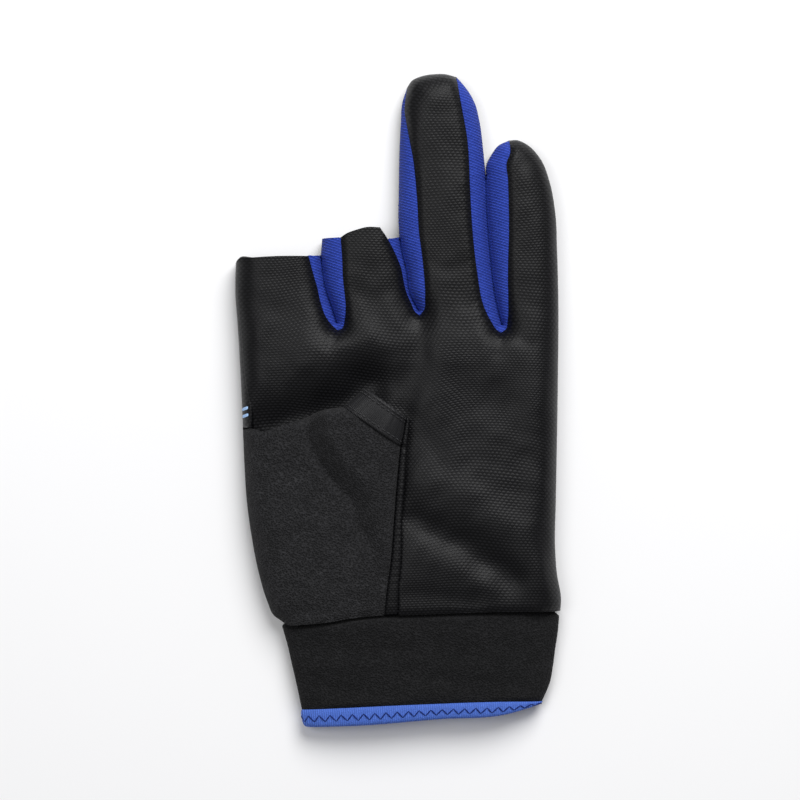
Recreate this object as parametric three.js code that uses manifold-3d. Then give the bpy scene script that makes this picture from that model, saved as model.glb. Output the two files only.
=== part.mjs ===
// A left-hand fishing glove with its thumb, index and middle fingers cut short, lying palm up.
// Millimetres. +X runs from the thumb side to the little finger, +Y to the fingertips, +Z up.
// The hand, the thumb and the cuff are hollow tubes of cloth. Their walls are cut into panels,
// with a small gap at every seam.
import * as THREE from "three";
import Module from "manifold-3d";

const wasm = await Module();
wasm.setup();

// Driving sizes of the hand
const indexWidth = 31.4; // flat widths at the knuckles
const middleWidth = 26.4;
const ringWidth = 26.4;
const littleWidth = 18.9;
const indexLength = 20.3; // from the finger base to the cut end
const middleLength = 27.5;
const ringLength = 80.5; // from the finger base to the closed tip
const littleLength = 59.3;
const palmLength = 75.0; // from the cuff seam to the knuckle line at the sides
const knuckleBow = 19.0; // how far the knuckle line arches up in its middle
const wristInset = 11.8; // how far the thumb side comes in towards the wrist
const palmDepth = 14.0;
const fingerDepth = 13.0;
const wall = 1.4;
const seamGap = 0.3;
const fingerGap = 0.8; // between the sides of neighbouring fingers
const backSeamHeight = 4.6; // where the back panel ends on the sides

// Driving sizes of the cuff
const cuffLength = 34.0;
const cuffDepth = 11.0;
const cuffWall = 1.8;
const neckLength = 4.0; // the part of the cuff that is sewn inside the hand
const bindingWidth = 5.4;
const bindingLift = 0.4; // how far the binding stands out from the cuff

// Driving sizes of the thumb
const thumbLength = 77.0; // from the cuff seam to its mouth
const thumbDepth = 8.6; // the unit of its heights, a little more than its depth at the mouth
const hemWidth = 7.7;
const hemLift = 0.35; // how far the hem stands out from the thumb
const rollWidth = 3.0; // the leather that shows beside the thumb's seam

// Derived sizes
const widths = [indexWidth, middleWidth, ringWidth, littleWidth];
const knuckleWidth = widths.reduce((sum, width) => sum + width, 0);
const halfKnuckles = knuckleWidth / 2;
const fingerBase = palmLength + knuckleBow * 0.89;
const outside = (palmLength + ringLength) * 2; // past every edge of the glove
const seamLow = backSeamHeight - seamGap / 2;
const seamHigh = backSeamHeight + seamGap / 2;

// Rounding of the sections: powers of a superellipse
const upperPower = 2.5;
const lowerPower = 3.2;
const thumbPower = 2.6;
const widest = 0.42; // the height of a section's widest line, as a share of its depth
const flattened = 0.9; // how far the surface under the glove pushes the round underside up

const finishes = {
  leather: { color: 0x1b1b1e, roughness: 0.55 },
  neoprene: { color: 0x151517, roughness: 0.95 },
  blueKnit: { color: 0x2036b4, roughness: 0.8 },
  hemTape: { color: 0x2c2c31, roughness: 0.7 },
  blueBinding: { color: 0x3c5ddc, roughness: 0.75 },
};

// A value from one column of a table, straight between the rows
function look(table, at, column) {
  const last = table[table.length - 1];
  if (at <= table[0].at) return table[0][column];
  if (at >= last.at) return last[column];
  const i = table.findIndex((row) => row.at > at);
  const [before, after] = [table[i - 1], table[i]];
  const share = (at - before.at) / (after.at - before.at);
  return before[column] + (after[column] - before[column]) * share;
}

const signedPower = (value, power) => Math.sign(value) * Math.abs(value) ** power;

// Solids

function solid(positions, triangles) {
  const mesh = new wasm.Mesh({
    numProp: 3,
    vertProperties: new Float32Array(positions.flat()),
    triVerts: new Uint32Array(triangles.flat()),
  });
  return new wasm.Manifold(mesh);
}

// A closed solid through rings that follow each other towards +Y, each from its right end over
// the top to its left end and back underneath. The end caps join the top to the underside.
function loft(rings) {
  const count = rings[0].length;
  const triangles = [];
  for (let i = 0; i + 1 < rings.length; i++) {
    for (let j = 0; j < count; j++) {
      const a = i * count + j;
      const b = i * count + ((j + 1) % count);
      triangles.push([a, a + count, b + count], [a, b + count, b]);
    }
  }
  const end = (rings.length - 1) * count;
  for (let j = 0; j + 1 < count / 2; j++) {
    const [a, b, c, d] = [j, j + 1, count - 2 - j, count - 1 - j];
    triangles.push([a, b, c], [a, c, d], [end + a, end + c, end + b], [end + a, end + d, end + c]);
  }
  return solid(rings.flat(), triangles);
}

// An upright prism over a plan outline
function prism(outline, low, high) {
  const points = outline.map(([x, y]) => new THREE.Vector2(x, y));
  if (THREE.ShapeUtils.isClockWise(points)) points.reverse();
  const count = points.length;
  const positions = [low, high].flatMap((z) => points.map((p) => [p.x, p.y, z]));
  const triangles = THREE.ShapeUtils.triangulateShape(points, []).flatMap(([a, b, c]) => [
    [a, c, b],
    [a + count, b + count, c + count],
  ]);
  for (let j = 0; j < count; j++) {
    const k = (j + 1) % count;
    triangles.push([j, k, k + count], [j, k + count, j + count]);
  }
  return solid(positions, triangles);
}

function slab(low, high) {
  const corners = [[-1, -1], [1, -1], [1, 1], [-1, 1]];
  return prism(corners.map(([x, y]) => [x * outside, y * outside]), low, high);
}

const joined = (solids) => solids.reduce((all, one) => all.add(one));

// One section of a flattened tube. inset moves its skin inwards, and relief(x, y) raises or
// lowers the upper side.
function tubeRing(section, inset, steps, relief = () => 0) {
  const { left, right, low, high, bow = 0 } = section;
  const half = Math.hypot(right[0] - left[0], right[1] - left[1]) / 2;
  const middle = low + (high - low) * widest;
  const ring = [];
  for (let j = 0; j < 2 * steps; j++) {
    const above = j <= steps;
    const turn = j / steps;
    const power = 2 / (above ? upperPower : lowerPower);
    const across = signedPower(Math.cos(turn * Math.PI), power) * (1 - inset / half);
    const rise = signedPower(Math.sin(turn * Math.PI), power);
    const x = (left[0] + right[0]) / 2 + ((right[0] - left[0]) / 2) * across;
    const slant = (left[1] + right[1]) / 2 + ((right[1] - left[1]) / 2) * across;
    const y = slant + bow * (1 - Math.abs(across) ** 3);
    const top = Math.max(high + relief(x, y) - inset, middle + wall / 2);
    const round = middle + (middle - low - inset + flattened) * rise;
    ring.push([x, y, above ? middle + (top - middle) * rise : Math.max(low + inset, round)]);
  }
  return ring;
}

// Fingers

// The lines between the fingers and down their outer sides. "at" is the way up from the finger
// base as a share of ringLength, and "lean" the way to the right as a share of knuckleWidth.
const fingerLines = [
  [{ at: 0, lean: 0.0 }, { at: 0.24, lean: -0.003 }],
  [
    { at: -0.04, lean: 0.012 },
    { at: 0.08, lean: 0.0 },
    { at: 0.18, lean: -0.022 },
    { at: 0.25, lean: -0.034 },
  ],
  [
    { at: 0.0, lean: 0.0 },
    { at: 0.09, lean: -0.003 },
    { at: 0.18, lean: -0.018 },
    { at: 0.25, lean: -0.027 },
    { at: 0.34, lean: -0.039 },
    { at: 0.44, lean: -0.055 },
  ],
  [
    { at: -0.04, lean: 0.005 },
    { at: 0.08, lean: -0.007 },
    { at: 0.17, lean: -0.019 },
    { at: 0.33, lean: -0.031 },
    { at: 0.49, lean: -0.038 },
    { at: 0.66, lean: -0.039 },
  ],
  [{ at: 0.2, lean: 0.002 }, { at: 0.4, lean: -0.007 }, { at: 0.5, lean: -0.01 }],
];

const knuckleAt = (i) => widths.slice(0, i).reduce((sum, width) => sum + width, 0) - halfKnuckles;
const knuckleLine = (x) => palmLength + knuckleBow * (1 - Math.abs(x / halfKnuckles) ** 3);

function lineX(i, y) {
  return knuckleAt(i) + look(fingerLines[i], (y - fingerBase) / ringLength, "lean") * knuckleWidth;
}

// Each finger: "at" of a seam is a share of the finger's length and "in" its way in from the
// finger's side as a share of fingerDepth. "at" of a tip is the way back from the tip as a share
// of the finger's width, as are the insets of its sides; "deep" is a share of fingerDepth.
const fingers = [
  {
    length: indexLength,
    endBow: 0.05,
    endSlant: 0.03,
    rightSeam: [{ at: 0, in: 0.24 }, { at: 0.4, in: 0.34 }, { at: 1, in: 0.31 }],
  },
  {
    length: middleLength,
    endBow: 0.1,
    endSlant: 0.02,
    leftSeam: [{ at: 0, in: 0.2 }, { at: 0.4, in: 0.4 }, { at: 1, in: 0.44 }],
    rightSeam: [{ at: 0, in: 0.1 }, { at: 0.6, in: 0.16 }, { at: 1, in: 0.27 }],
  },
  {
    length: ringLength,
    leftSeam: [
      { at: 0, in: 0.16 },
      { at: 0.1, in: 0.22 },
      { at: 0.32, in: 0.38 },
      { at: 0.5, in: 0.42 },
      { at: 0.7, in: 0.27 },
      { at: 0.8, in: 0.17 },
      { at: 0.88, in: 0.04 },
    ],
    rightSeam: [
      { at: 0, in: 0.2 },
      { at: 0.1, in: 0.3 },
      { at: 0.3, in: 0.38 },
      { at: 0.8, in: 0.42 },
      { at: 0.9, in: 0.4 },
      { at: 0.955, in: 0.24 },
      { at: 0.97, in: 0.04 },
    ],
    tip: [
      { at: 0.015, inLeft: 0.28, inRight: 0.42, deep: 0.4 },
      { at: 0.07, inLeft: 0.16, inRight: 0.3, deep: 0.62 },
      { at: 0.17, inLeft: 0.075, inRight: 0.218, deep: 0.82 },
      { at: 0.3, inLeft: 0.05, inRight: 0.14, deep: 0.94 },
      { at: 0.5, inLeft: 0.022, inRight: 0.08, deep: 1 },
      { at: 0.9, inLeft: 0, inRight: 0.02, deep: 1 },
    ],
  },
  {
    length: littleLength,
    leftSeam: [
      { at: 0, in: 0.15 },
      { at: 0.2, in: 0.27 },
      { at: 0.4, in: 0.4 },
      { at: 0.7, in: 0.5 },
      { at: 0.9, in: 0.5 },
      { at: 0.96, in: 0.3 },
      { at: 0.99, in: 0.04 },
    ],
    tip: [
      { at: 0.015, inLeft: 0.3, inRight: 0.62, deep: 0.38 },
      { at: 0.07, inLeft: 0.2, inRight: 0.5, deep: 0.58 },
      { at: 0.2, inLeft: 0.09, inRight: 0.32, deep: 0.8 },
      { at: 0.35, inLeft: 0.025, inRight: 0.21, deep: 0.93 },
      { at: 0.6, inLeft: 0, inRight: 0.1, deep: 1 },
      { at: 1.0, inLeft: 0, inRight: 0.015, deep: 1 },
    ],
  },
];
const fingerSteps = 8;
const rootDepth = 0.93; // a finger's depth where it leaves the palm, as a share of fingerDepth
const rootLength = 16.0; // how far its tube runs back into the palm

function fingerSection(i, level) {
  const { length, tip, endBow = 0, endSlant = 0 } = fingers[i];
  const y = fingerBase + level;
  const back = (length - level) / widths[i];
  const inLeft = tip ? look(tip, back, "inLeft") * widths[i] : 0;
  const inRight = tip ? look(tip, back, "inRight") * widths[i] : 0;
  const rise = Math.min(1, rootDepth + Math.max(level, 0) / length);
  const deep = (tip ? Math.min(look(tip, back, "deep"), rise) : rise) * fingerDepth;
  const risen = Math.max(level / length, 0) ** 2 * length;
  const lift = level > length / 2 ? (fingerDepth - deep) * widest * 0.5 : 0;
  return {
    left: [lineX(i, y) + inLeft + fingerGap / 2, y - endSlant * risen],
    right: [lineX(i + 1, y) - inRight - fingerGap / 2, y + endSlant * risen],
    low: lift,
    high: deep + lift,
    bow: endBow * risen,
  };
}

function fingerTube(i, inset) {
  const { length, tip } = fingers[i];
  const shares = [0, 0.12, 0.3, 0.5, 0.68, 0.82];
  const end = tip ? tip.map((row) => length - row.at * widths[i]) : [length];
  const levels = [-rootLength, -rootLength / 2, ...shares.map((share) => share * length), ...end];
  levels.sort((a, b) => a - b);
  const sections = levels.map((level) => fingerSection(i, level));
  if (!inset) return loft(sections.map((s) => tubeRing(s, 0, fingerSteps)));
  const drawnIn = tip ? inset : -wall;
  for (const section of sections.slice(tip ? -5 : -1)) {
    section.left = [section.left[0], section.left[1] - drawnIn];
    section.right = [section.right[0], section.right[1] - drawnIn];
  }
  const roomy = sections.filter((s) => s.right[0] - s.left[0] > 3.4 * inset && s.high - s.low > 2.6 * inset);
  return loft(roomy.map((s) => tubeRing(s, inset, fingerSteps)));
}

// Palm

// Rows from the cuff seam up. "in" is the left side's way in and "out" the right side's way out,
// as shares of wristInset, "high" a share of palmDepth and "bow" of knuckleBow.
const palmRows = [
  { at: 0.0, in: 1.0, out: 0.157, high: 0.86, bow: 0.03 },
  { at: 0.05, in: 0.83, out: 0.12, high: 0.89, bow: 0.05 },
  { at: 0.11, in: 0.69, out: 0.01, high: 0.92, bow: 0.09 },
  { at: 0.2, in: 0.54, out: -0.08, high: 0.95, bow: 0.15 },
  { at: 0.31, in: 0.4, out: -0.02, high: 0.98, bow: 0.23 },
  { at: 0.42, in: 0.29, out: 0.02, high: 1.0, bow: 0.32 },
  { at: 0.57, in: 0.216, out: 0.02, high: 1.0, bow: 0.45 },
  { at: 0.72, in: 0.17, out: 0.02, high: 1.0, bow: 0.62 },
  { at: 0.86, in: 0.13, out: 0.02, high: 0.97, bow: 0.8 },
  { at: 1.0, in: 0.07, out: 0.01, high: 0.9, bow: 1.0 },
];
const wristSlant = 3.2; // how much lower the cuff seam is on the thumb side
const palmSteps = 17;

// Dents and ridges of the palm. Each follows a line between two places, in shares of
// halfKnuckles and palmLength; "wide" and "raise" are shares of palmDepth.
const palmFolds = [
  { fold: "dent at the thumb's root", x1: -0.9, y1: 0.78, x2: -0.3, y2: 0.92, wide: 0.42, raise: -0.26 },
  { fold: "hollow under the thumb", x1: -0.3, y1: 0.25, x2: -0.16, y2: 0.84, wide: 0.8, raise: -0.2 },
  { fold: "heel crease", x1: 0.15, y1: 0.5, x2: 0.74, y2: 0.08, wide: 0.45, raise: -0.1 },
  { fold: "palm ridge", x1: 0.28, y1: 0.82, x2: 0.86, y2: 0.26, wide: 0.6, raise: 0.08 },
  { fold: "heel ridge", x1: 0.02, y1: 0.4, x2: 0.34, y2: 0.12, wide: 0.5, raise: 0.06 },
  { fold: "knuckle ridge", x1: -0.45, y1: 1.08, x2: 0.0, y2: 1.14, wide: 0.6, raise: 0.05 },
];

function palmRelief(x, y) {
  let sum = 0;
  for (const { x1, y1, x2, y2, wide, raise } of palmFolds) {
    const [ax, ay] = [x1 * halfKnuckles, y1 * palmLength];
    const [bx, by] = [x2 * halfKnuckles - ax, y2 * palmLength - ay];
    const along = ((x - ax) * bx + (y - ay) * by) / (bx * bx + by * by);
    const share = Math.min(1, Math.max(0, along));
    const away = Math.hypot(x - ax - share * bx, y - ay - share * by);
    sum += raise * palmDepth * Math.exp(-((away / (wide * palmDepth)) ** 2));
  }
  return sum;
}

function palmSection(row, drop = 0) {
  const y = row.at * palmLength - drop;
  return {
    left: [-halfKnuckles + row.in * wristInset, y - wristSlant * (1 - row.at)],
    right: [halfKnuckles + row.out * wristInset, y],
    low: 0,
    high: row.high * palmDepth,
    bow: row.bow * knuckleBow,
  };
}

function palmTube(inset) {
  const sections = palmRows.map((row) => palmSection(row, row.at === 1 ? inset : 0));
  if (inset > 0) sections.unshift(palmSection(palmRows[0], wall));
  return loft(sections.map((s) => tubeRing(s, inset, palmSteps, palmRelief)));
}

// The whole hand as one solid, its skin moved inwards by an inset
function hand(inset) {
  return joined([palmTube(inset), ...fingers.map((_, i) => fingerTube(i, inset))]);
}

// Thumb

// The thumb lies folded over the palm, from the cuff seam to its mouth. The left side of its tube
// starts inside the hand. Places are shares of halfKnuckles (x) and thumbLength (y), heights
// shares of thumbDepth: "edge" at the left side, "low" and "high" at the crown.
const thumbRows = [
  { at: 0.0, leftX: -0.66, leftY: 0.018, rightX: -0.09, rightY: 0.005, edge: 1.0, low: 0.95, high: 1.5 },
  { at: 0.15, leftX: -0.72, leftY: 0.129, rightX: -0.035, rightY: 0.092, edge: 1.0, low: 1.2, high: 1.86 },
  { at: 0.35, leftX: -0.75, leftY: 0.295, rightX: -0.001, rightY: 0.24, edge: 1.02, low: 1.38, high: 2.12 },
  { at: 0.55, leftX: -0.75, leftY: 0.479, rightX: 0.017, rightY: 0.396, edge: 1.05, low: 1.44, high: 2.28 },
  { at: 0.72, leftX: -0.7, leftY: 0.645, rightX: 0.042, rightY: 0.526, edge: 1.1, low: 1.48, high: 2.38 },
  { at: 0.82, leftX: -0.6, leftY: 0.76, rightX: 0.055, rightY: 0.61, edge: 1.32, low: 1.5, high: 2.44 },
  { at: 0.9, leftX: -0.43, leftY: 0.859, rightX: 0.068, rightY: 0.706, edge: 1.84, low: 1.54, high: 2.5 },
  { at: 1.0, leftX: -0.281, leftY: 0.926, rightX: 0.08, rightY: 0.807, edge: 2.05, low: 1.58, high: 2.56 },
];
const thumbSteps = 22;
const thumbCrown = 0.62; // where the thumb is thickest, as a share of the way across
const hemStart = 1 - hemWidth / thumbLength;
const thumbLevels = [0, 0.15, 0.35, 0.55, 0.72, 0.82];

function thumbRow(at) {
  const row = {};
  for (const column of Object.keys(thumbRows[0])) row[column] = look(thumbRows, at, column);
  row.width = (row.rightX - row.leftX) * halfKnuckles;
  row.half = ((row.high - row.low) / 2) * thumbDepth;
  return row;
}

// The height of the thumb's middle surface, a share of the way across
function thumbMiddle(row, across) {
  const share = Math.min(1, Math.max(0, across / thumbCrown));
  const swell = share * share * (3 - 2 * share);
  return (row.edge + ((row.low + row.high) / 2 - row.edge) * swell) * thumbDepth;
}

function thumbPoint(row, across, z, past = 0) {
  return [
    (row.leftX + (row.rightX - row.leftX) * across) * halfKnuckles,
    (row.leftY + (row.rightY - row.leftY) * across) * thumbLength + past,
    z,
  ];
}

function thumbRing(row, inset, past = 0) {
  const ring = [];
  for (let j = 0; j < thumbSteps; j++) {
    const turn = (2 * Math.PI * j) / thumbSteps;
    const side = signedPower(Math.cos(turn), 2 / thumbPower);
    const across = 0.5 + side * (0.5 - inset / row.width);
    const z = thumbMiddle(row, across) + (row.half - inset) * signedPower(Math.sin(turn), 2 / thumbPower);
    ring.push(thumbPoint(row, across, z, past));
  }
  return ring;
}

function thumbTube(inset, from, to) {
  const levels = [from, ...thumbLevels.filter((at) => at > from && at < to), to];
  return loft(levels.map((at) => thumbRing(thumbRow(at), inset)));
}

function thumbHollow() {
  const levels = [...thumbLevels, hemStart, 1];
  const rings = levels.map((at) => thumbRing(thumbRow(at), wall, at === 0 ? wall * 2 : 0));
  rings.push(thumbRing(thumbRow(1), wall, wall));
  return loft(rings);
}

// The room above the thumb's middle surface and left of its seam
function thumbUpperSide(clearance) {
  const steps = 10;
  const rings = [...thumbLevels, hemStart, 1].map((at) => {
    const row = thumbRow(at);
    const past = at === 1 ? wall : at === 0 ? -wall : 0;
    const [start, end] = [-0.1, 1 - (rollWidth + clearance) / row.width];
    const roof = [];
    const under = [];
    for (let j = 0; j <= steps; j++) {
      const across = start + (end - start) * (j / steps);
      under.push(thumbPoint(row, across, thumbMiddle(row, across) + clearance, past));
      roof.unshift(thumbPoint(row, across, (row.high + 1) * thumbDepth, past));
    }
    return [...roof, ...under];
  });
  return loft(rings);
}

// Plan outlines of the panels

// The strip between fingers i and i + 1, from the palm's seam on one to the palm's seam on the
// other, both starting where the fingers part. A clearance widens it.
function stripOutline(i, clearance) {
  const past = wall + 1;
  const crotchX = lineX(i + 1, fingerBase);
  const crotchY = knuckleLine(crotchX) - 1.5;
  const seamLine = (finger, side) => {
    const { length, tip } = fingers[finger];
    const seam = fingers[finger][side < 0 ? "leftSeam" : "rightSeam"];
    const last = seam[seam.length - 1].at;
    const levels = [...new Set([0, 0.2, 0.4, 0.6, 0.8, ...seam.map((row) => row.at)])];
    const line = levels
      .filter((at) => at <= last)
      .sort((a, b) => a - b)
      .map((at) => {
        const y = crotchY + at * (fingerBase + length - crotchY);
        const section = fingerSection(finger, y - fingerBase);
        const edge = side < 0 ? section.left : section.right;
        return [edge[0] - side * (look(seam, at, "in") * fingerDepth + clearance), y];
      });
    const end = line[line.length - 1];
    if (tip) line.push([end[0] + side * past, end[1] + clearance]);
    else line.push([end[0], end[1] + past]);
    return line;
  };
  const left = seamLine(i, 1);
  const right = seamLine(i + 1, -1);
  const away = fingers[i].length > fingers[i + 1].length ? past : -past;
  const [from, to] = [left[left.length - 1][1], right[right.length - 1][1]];
  const between = [0.02, 0.35, 0.7, 0.98].map((share) => {
    const y = from + (to - from) * share;
    return [lineX(i + 1, y) + away, y];
  });
  return [[crotchX, crotchY - 1 - clearance], ...left, ...between, ...right.reverse()];
}

// The neoprene at the root of the thumb: its upper edge runs in from the thumb side, and its
// right edge lies hidden under the thumb. Shares of halfKnuckles and palmLength.
function rootOutline(clearance) {
  const edge = [
    { x: -0.9, y: 0.765 },
    { x: -0.6, y: 0.81 },
    { x: -0.44, y: 0.87 },
    { x: -0.3, y: 0.7 },
    { x: -0.22, y: 0.4 },
    { x: -0.16, y: 0.12 },
  ].map(({ x, y }) => [x * halfKnuckles + clearance, y * palmLength + clearance]);
  return [
    [-outside, -palmLength],
    [-outside, edge[0][1]],
    ...edge,
    [edge[edge.length - 1][0], -palmLength],
  ];
}

// The back panel comes round the thumb side and shows beside the palm
function sideOutline(clearance) {
  const edge = [
    { x: -0.995, y: 1.2 },
    { x: -0.985, y: 1.08 },
    { x: -0.95, y: 0.93 },
    { x: -0.9, y: 0.8 },
  ].map(({ x, y }) => [x * halfKnuckles + clearance, y * palmLength]);
  const foot = rootOutline(half)[1][1] + seamGap / 2 - clearance;
  return [[-outside, edge[0][1]], ...edge, [edge[edge.length - 1][0], foot], [-outside, foot]];
}

// Cuff

// Rows from the cuff seam down to the mouth. "in" is the left side's way in and "out" the right
// side's way out, as shares of cuffLength, and "high" a share of cuffDepth.
const cuffRows = [
  { at: 0.02, in: 0.02, out: -0.025, high: 1.0 },
  { at: 0.15, in: 0.075, out: -0.05, high: 1.0 },
  { at: 0.35, in: 0.14, out: -0.075, high: 1.0 },
  { at: 0.6, in: 0.198, out: -0.1, high: 0.99 },
  { at: 0.75, in: 0.23, out: -0.135, high: 0.97 },
  { at: 0.88, in: 0.255, out: -0.19, high: 0.94 },
  { at: 1.0, in: 0.28, out: -0.26, high: 0.9 },
];
const mouthSlant = 2.0; // how much shorter the cuff is on the right
const cuffSteps = 14;
const bindingStart = 1 - bindingWidth / cuffLength;
const seamSection = palmSection(palmRows[0]);

function cuffSection(at, past = 0) {
  const [inwards, out, high] = ["in", "out", "high"].map((column) => look(cuffRows, at, column));
  return {
    left: [seamSection.left[0] + inwards * cuffLength, seamSection.left[1] - at * cuffLength - past],
    right: [seamSection.right[0] + out * cuffLength, -at * (cuffLength - mouthSlant) - past],
    low: bindingLift,
    high: high * cuffDepth,
    bow: seamSection.bow * (1 - at),
  };
}

// The neck of the cuff, sewn inside the hand's lower edge
function neckSection(inside) {
  const clear = wall + seamGap;
  return {
    left: [seamSection.left[0] + clear, seamSection.left[1] + inside],
    right: [seamSection.right[0] - clear, seamSection.right[1] + inside],
    low: clear,
    high: seamSection.high - clear,
    bow: seamSection.bow,
  };
}

function cuffRings(inset, from, to) {
  const between = cuffRows.map((row) => row.at).filter((at) => at > from && at < to);
  return [to, ...between.reverse(), from].map((at) => tubeRing(cuffSection(at), inset, cuffSteps));
}

const cuffHollow = loft([
  tubeRing(cuffSection(1, wall), cuffWall, cuffSteps),
  ...cuffRings(cuffWall, cuffRows[0].at, 1),
  tubeRing(neckSection(0), cuffWall, cuffSteps),
  tubeRing(neckSection(neckLength + wall), cuffWall, cuffSteps),
]);
const cuffOutside = loft([
  ...cuffRings(0, cuffRows[0].at, bindingStart - seamGap / cuffLength),
  tubeRing(neckSection(-seamGap), 0, cuffSteps),
  tubeRing(neckSection(neckLength), 0, cuffSteps),
]);
const bindingOutside = loft(cuffRings(-bindingLift, bindingStart, 1));

// Panels

const half = seamGap / 2;
const handSolid = hand(0);
const handSpace = hand(wall);
const handSkin = handSolid.subtract(handSpace);
const upperHalf = slab(seamHigh, outside);
const strip = (i, clearance) => prism(stripOutline(i, clearance), seamHigh - 1, outside);
const root = (clearance) => prism(rootOutline(clearance), -1, outside);
const side = (clearance) => prism(sideOutline(clearance), -1, outside);

const thumbRoom = thumbTube(-(seamGap + hemLift), 0, 1);
const thumbSpace = thumbHollow();
const thumbSkin = thumbTube(0, 0, hemStart - seamGap / thumbLength).subtract(thumbSpace);
const rootSkin = handSolid.intersect(root(-half)).intersect(upperHalf);
const rootRoom = hand(-seamGap).intersect(root(half));

const backPanel = handSkin.intersect(slab(-1, seamLow).add(side(-half)));
const palmPanel = handSkin
  .intersect(upperHalf)
  .subtract(joined([0, 1, 2].map((i) => strip(i, half))))
  .subtract(root(half))
  .subtract(side(half))
  .subtract(thumbRoom)
  .subtract(thumbSpace);
const fourchette = (i) => handSkin.intersect(upperHalf).intersect(strip(i, -half));
const thumbBack = thumbSkin
  .intersect(thumbUpperSide(half))
  .add(rootSkin.subtract(side(half)))
  .subtract(handSpace)
  .subtract(thumbSpace);
const thumbPalm = thumbSkin.subtract(thumbUpperSide(-half)).subtract(rootRoom).subtract(handSpace);
const thumbHem = thumbTube(-hemLift, hemStart, 1).subtract(thumbSpace);
const hemRoom = hand(-seamGap).subtract(hand(wall + seamGap));
const cuff = cuffOutside.subtract(cuffHollow).subtract(hemRoom).subtract(thumbRoom);
const binding = bindingOutside.subtract(cuffHollow);

// Meshes

// The largest body of a cut solid, as corner positions; trimmings that a cut leaves are dropped
function largestBody(cut) {
  const { vertProperties, triVerts, numProp } = cut.getMesh();
  const owner = Array.from({ length: vertProperties.length / numProp }, (_, i) => i);
  const find = (i) => {
    while (owner[i] !== i) {
      owner[i] = owner[owner[i]];
      i = owner[i];
    }
    return i;
  };
  for (let t = 0; t < triVerts.length; t += 3) {
    owner[find(triVerts[t])] = find(triVerts[t + 1]);
    owner[find(triVerts[t + 1])] = find(triVerts[t + 2]);
  }
  const bodies = new Map();
  for (let t = 0; t < triVerts.length; t += 3) {
    const key = find(triVerts[t]);
    if (!bodies.has(key)) bodies.set(key, []);
    bodies.get(key).push(triVerts[t], triVerts[t + 1], triVerts[t + 2]);
  }
  const largest = [...bodies.values()].sort((a, b) => b.length - a.length)[0];
  const position = (v) => [0, 1, 2].map((k) => vertProperties[v * numProp + k]);
  return largest.flatMap(position);
}

const pieces = [
  ["palm_panel", palmPanel, finishes.leather],
  ["back_panel", backPanel, finishes.leather],
  ["fourchette_index_middle", fourchette(0), finishes.blueKnit],
  ["fourchette_middle_ring", fourchette(1), finishes.blueKnit],
  ["fourchette_ring_little", fourchette(2), finishes.blueKnit],
  ["thumb_back", thumbBack, finishes.neoprene],
  ["thumb_palm", thumbPalm, finishes.leather],
  ["thumb_hem", thumbHem, finishes.hemTape],
  ["cuff", cuff, finishes.neoprene],
  ["cuff_binding", binding, finishes.blueBinding],
];

const group = new THREE.Group();
group.name = "fishing_glove";
for (const [name, cut, finish] of pieces) {
  const geometry = new THREE.BufferGeometry();
  geometry.setAttribute("position", new THREE.Float32BufferAttribute(largestBody(cut), 3));
  geometry.computeVertexNormals();
  const mesh = new THREE.Mesh(geometry, new THREE.MeshStandardMaterial(finish));
  mesh.name = name;
  group.add(mesh);
}

// The origin is the middle of the glove's outline, on the surface under it
const box = new THREE.Box3().setFromObject(group);
const centre = box.getCenter(new THREE.Vector3());
for (const mesh of group.children) mesh.geometry.translate(-centre.x, -centre.y, -box.min.z);

export default group;
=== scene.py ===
import math

import bpy
import numpy as np
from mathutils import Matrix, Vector, kdtree, noise
from mathutils.geometry import delaunay_2d_cdt


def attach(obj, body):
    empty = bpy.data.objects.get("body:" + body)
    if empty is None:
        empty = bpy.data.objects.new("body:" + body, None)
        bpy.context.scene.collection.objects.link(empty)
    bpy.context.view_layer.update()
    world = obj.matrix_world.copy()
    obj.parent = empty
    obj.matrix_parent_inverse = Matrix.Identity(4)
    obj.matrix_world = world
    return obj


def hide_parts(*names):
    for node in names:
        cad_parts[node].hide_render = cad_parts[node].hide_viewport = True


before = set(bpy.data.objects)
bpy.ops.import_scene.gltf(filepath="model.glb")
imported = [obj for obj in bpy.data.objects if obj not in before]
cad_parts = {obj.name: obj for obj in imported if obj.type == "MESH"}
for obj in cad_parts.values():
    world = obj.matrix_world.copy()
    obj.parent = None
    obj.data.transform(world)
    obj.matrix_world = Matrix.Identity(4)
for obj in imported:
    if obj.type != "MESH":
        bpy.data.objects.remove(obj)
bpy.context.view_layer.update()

# Lengths are in mm until a mesh is made. Places read from the photograph are in its pixels.
METRES = 0.001
PIXEL = 0.32
MIDDLE = (237.2, 399.7)  # the glove's middle in the photograph

# Thickness of the stuffs
SHEET = 1.2  # leather and knit
NEOPRENE = 1.8
PRINT = 0.15

# The hand
SEAM_HEIGHT = 4.6  # where the back panel ends on the sides
HAND_DEPTHS = {-68: 11.6, -60: 12.6, -40: 13.6, 12: 13.8, 30: 12.8, 60: 12.6, 105: 12.2}  # by place up it
ROLL = 9.0  # how far in from a side the top goes on rising steeply
ROUNDNESS = 2.2
CROWN = 0.7  # how much higher the middle of the top is
CROWN_REACH = 12
UNDERSIDE_ROLL = 5.5
UNDERSIDE_ROUNDNESS = 2.6
UNDERSIDE_CLEARANCE = 0.05
FOLD_FADE = 6  # how far in from a side the folds fade out
BAND_DEPTH = 0.25  # how far the knit bands lie below the leather
ROOT_DEPTH = 0.2  # and the neoprene at the root of the thumb

# Small lumps of the panels: how high, how wide, and the seed of the noise
PALM_LUMPS = [(0.45, 13, 1.5), (0.2, 5, 4.5)]
ROOT_LUMPS = [(0.5, 11, 2.5), (0.15, 4.5, 6.5)]
THUMB_LUMPS = [(0.3, 10, 3.5)]
BAND_LUMPS = [(0.22, 7, 8.5)]

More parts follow.
